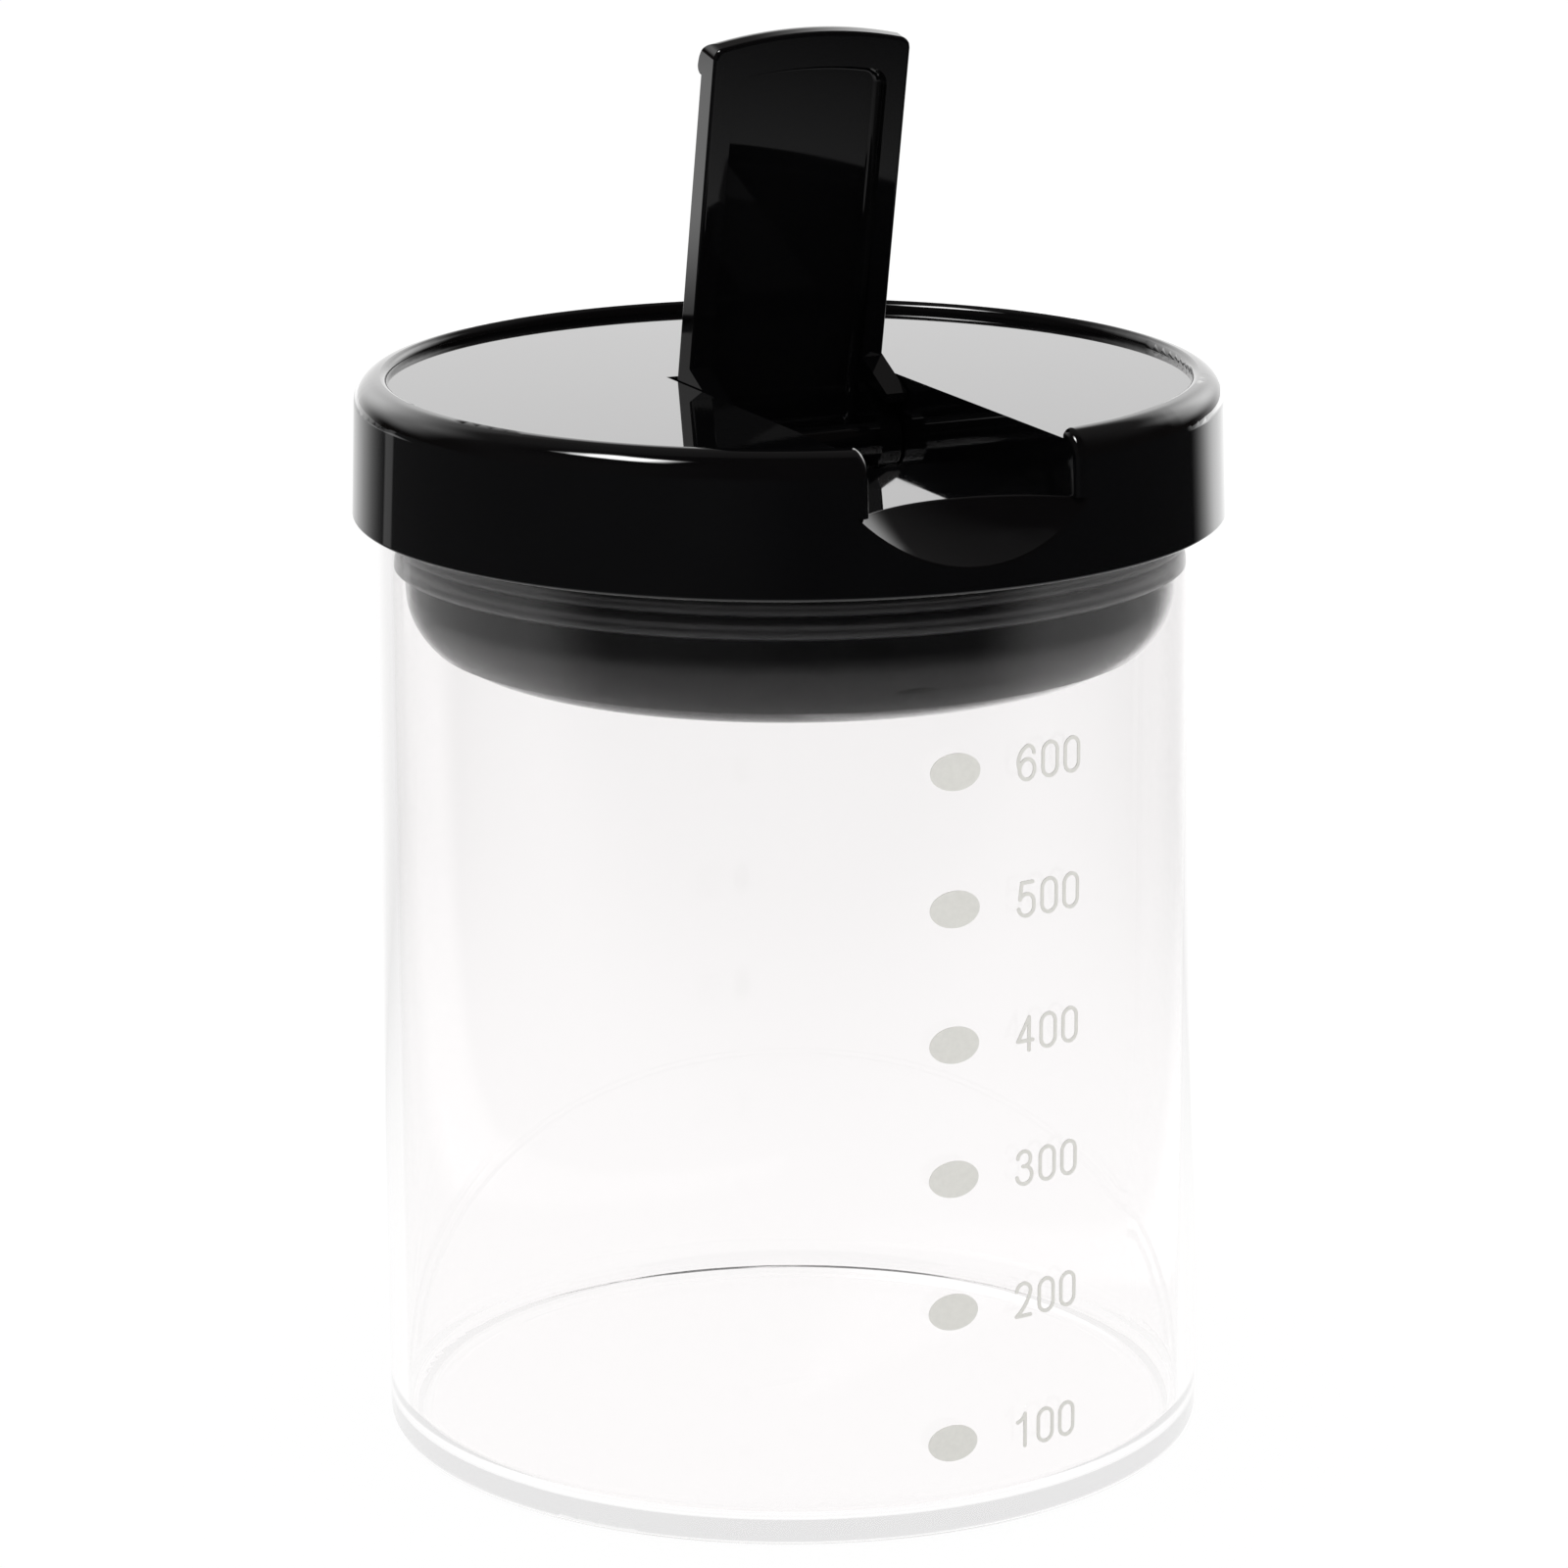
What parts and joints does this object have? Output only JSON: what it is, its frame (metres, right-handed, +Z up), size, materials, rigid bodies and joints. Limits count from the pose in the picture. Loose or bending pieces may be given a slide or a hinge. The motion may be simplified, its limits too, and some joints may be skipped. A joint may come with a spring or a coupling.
{
  "type": "storage jar",
  "caption": "Clear glass storage jar with a printed volume scale and a black lid, whose flip-up flap opens a pouring slot with a thumb scoop.",
  "frame": {"origin": "centre of the glass base, on the surface it stands on", "axes": "+Z up along the jar's axis, -Y towards the spout, X along the flap's hinge axis"},
  "size_m": [0.0996, 0.0996, 0.1638],
  "materials": {
    "clear_glass": "polished",
    "scale_ink": "matt fired-on ink",
    "black_cover": "high gloss",
    "black_plug": "gloss",
    "seal": "satin silicone"
  },
  "bodies": {
    "jar": {"glass_jar": "clear_glass", "printed_scale": "scale_ink"},
    "lid": {"lid_cover": "black_cover", "inner_plug": "black_plug", "seal_ring": "seal"},
    "flap": {"pour_flap": "black_cover"}
  },
  "joints": [
    {"name": "lid_lift", "type": "slide", "parent": "jar", "child": "lid", "axis": [0, 0, 1], "range_m": [0, 0.04]},
    {"name": "flap_hinge", "type": "hinge", "parent": "lid", "child": "flap", "pos_m": [0, -0.00165, 0.1158], "axis": [-1, 0, 0], "range_deg": [-78.5, 17]}
  ]
}
